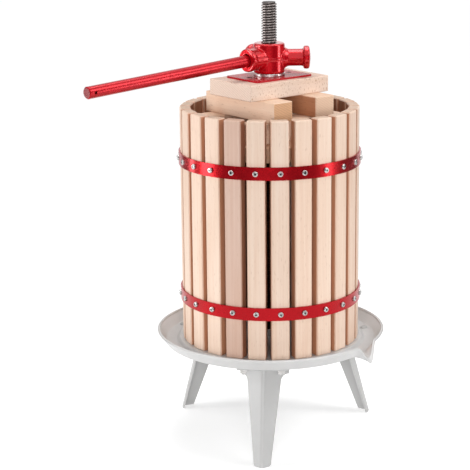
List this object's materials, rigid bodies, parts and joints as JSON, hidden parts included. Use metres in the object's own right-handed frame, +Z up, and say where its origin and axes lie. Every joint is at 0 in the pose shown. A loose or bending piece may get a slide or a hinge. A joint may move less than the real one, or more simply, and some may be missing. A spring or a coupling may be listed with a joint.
{
  "type": "basket fruit press",
  "caption": "Hand screw press for fruit: slatted wooden basket on a splay-legged juice pan, threaded spindle, cast head with a loose bar, press boards and blocks.",
  "frame": {"origin": "on the spindle's axis, at the floor that the three feet stand on", "axes": "+Z up the spindle, -Y towards the front leg's side, +X to the right seen from the front"},
  "size_m": [0.4454, 0.4267, 0.694],
  "materials": {
    "beech": "sanded, unvarnished, fine straight grain",
    "red_enamel": "satin red enamel on steel",
    "red_gloss": "glossy red enamel on cast iron and steel bar",
    "white_enamel": "white powder coat",
    "zinc": "bright zinc plate",
    "dark_steel": "plain oiled steel"
  },
  "bodies": {
    "base": {"stave_01": "beech", "stave_02": "beech", "stave_03": "beech", "stave_04": "beech", "stave_05": "beech", "stave_06": "beech", "stave_07": "beech", "stave_08": "beech", "stave_09": "beech", "stave_10": "beech", "stave_11": "beech", "stave_12": "beech", "stave_13": "beech", "stave_14": "beech", "stave_15": "beech", "stave_16": "beech", "stave_17": "beech", "stave_18": "beech", "stave_19": "beech", "stave_20": "beech", "stave_21": "beech", "stave_22": "beech", "stave_23": "beech", "stave_24": "beech", "lower_hoop": "red_enamel", "upper_hoop": "red_enamel", "pan": "white_enamel", "front_leg": "white_enamel", "right_leg": "white_enamel", "left_leg": "white_enamel", "leg_bolts": "white_enamel", "lower_hoop_screws": "zinc", "upper_hoop_screws": "zinc", "leg_washers": "zinc", "leg_nuts": "zinc", "spindle_upper_nut": "zinc", "spindle_lower_nut": "zinc", "spindle": "dark_steel", "backing_plate": "dark_steel"},
    "press_stack": {"front_press_board": "beech", "rear_press_board": "beech", "front_lower_bar": "beech", "rear_lower_bar": "beech", "left_bar": "beech", "right_bar": "beech", "top_block": "beech", "pressure_plate": "red_enamel", "plate_screws": "dark_steel", "thrust_washer": "zinc"},
    "press_head": {"screw_head": "red_gloss"},
    "handle": {"handle_bar": "red_gloss"}
  },
  "joints": [
    {"name": "press_slide", "type": "slide", "parent": "base", "child": "press_stack", "axis": [0, 0, -1], "range_m": [0, 0.033]},
    {"name": "head_turn", "type": "hinge", "parent": "press_stack", "child": "press_head", "pos_m": [0, 0, 0.6075], "axis": [0, 0, -1], "range_deg": [0, 2970]},
    {"name": "handle_pull", "type": "slide", "parent": "press_head", "child": "handle", "axis": [-0.733, -0.6788, -0.0449], "range_m": [0, 0.025]}
  ],
  "couplings": [
    {"joint": "press_slide", "follows": "head_turn", "m_per_rad": 0.00063662}
  ]
}
